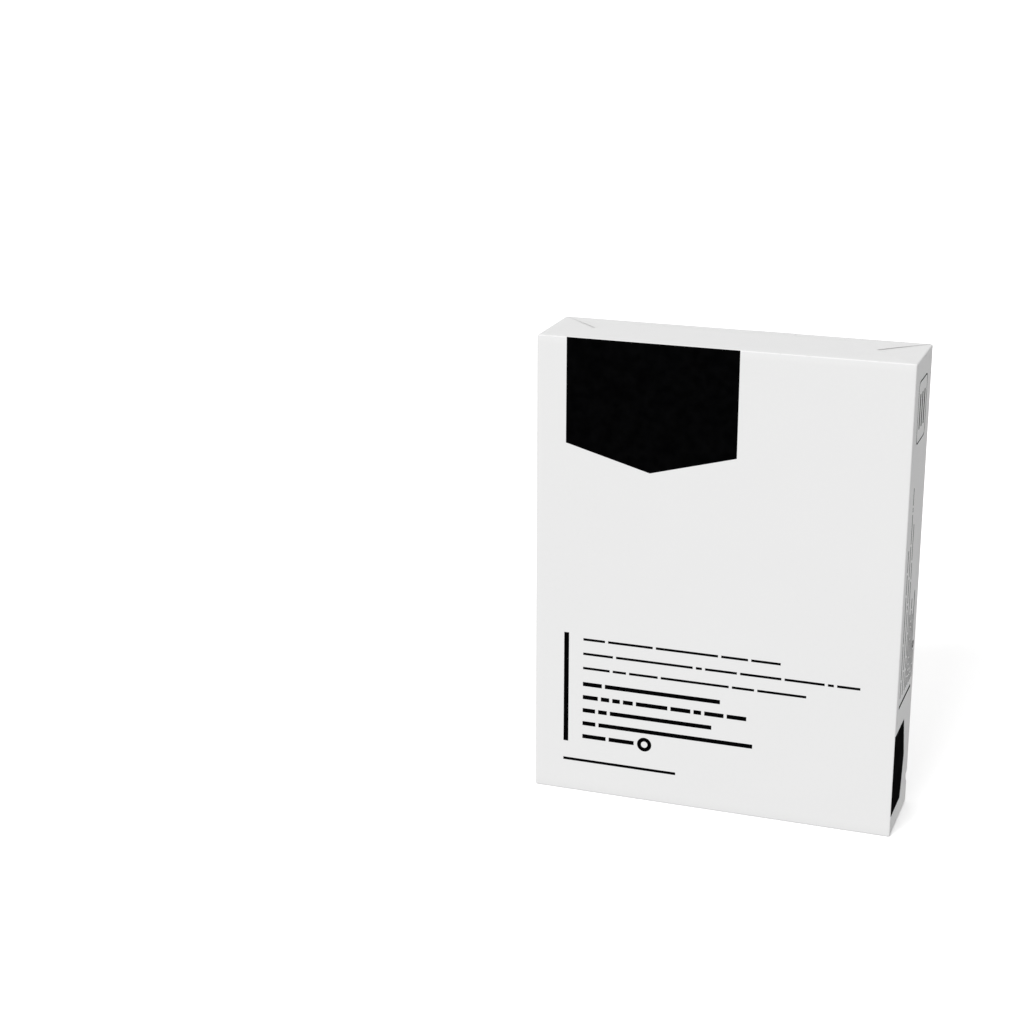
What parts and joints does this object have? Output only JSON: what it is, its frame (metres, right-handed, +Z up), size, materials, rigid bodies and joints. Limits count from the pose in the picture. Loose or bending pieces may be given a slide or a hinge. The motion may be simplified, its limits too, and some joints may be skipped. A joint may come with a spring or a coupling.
{
  "type": "ream of copier paper",
  "caption": "Sealed paper-wrapped block of letter-size sheets, standing on a folded end, with a black pennant and plain bars printed on the front and one side.",
  "frame": {"origin": "middle of the base, at the height of the surface the pack stands on", "axes": "+Z up along the sheets' long side, +X to the right along their short side, -Y out of the printed front"},
  "size_m": [0.2166, 0.0524, 0.2805],
  "materials": {
    "wrapper_paper": "satin",
    "black_ink": "satin"
  },
  "bodies": {
    "root": {"wrapped_ream": "wrapper_paper", "black_print": "black_ink"}
  },
  "joints": []
}
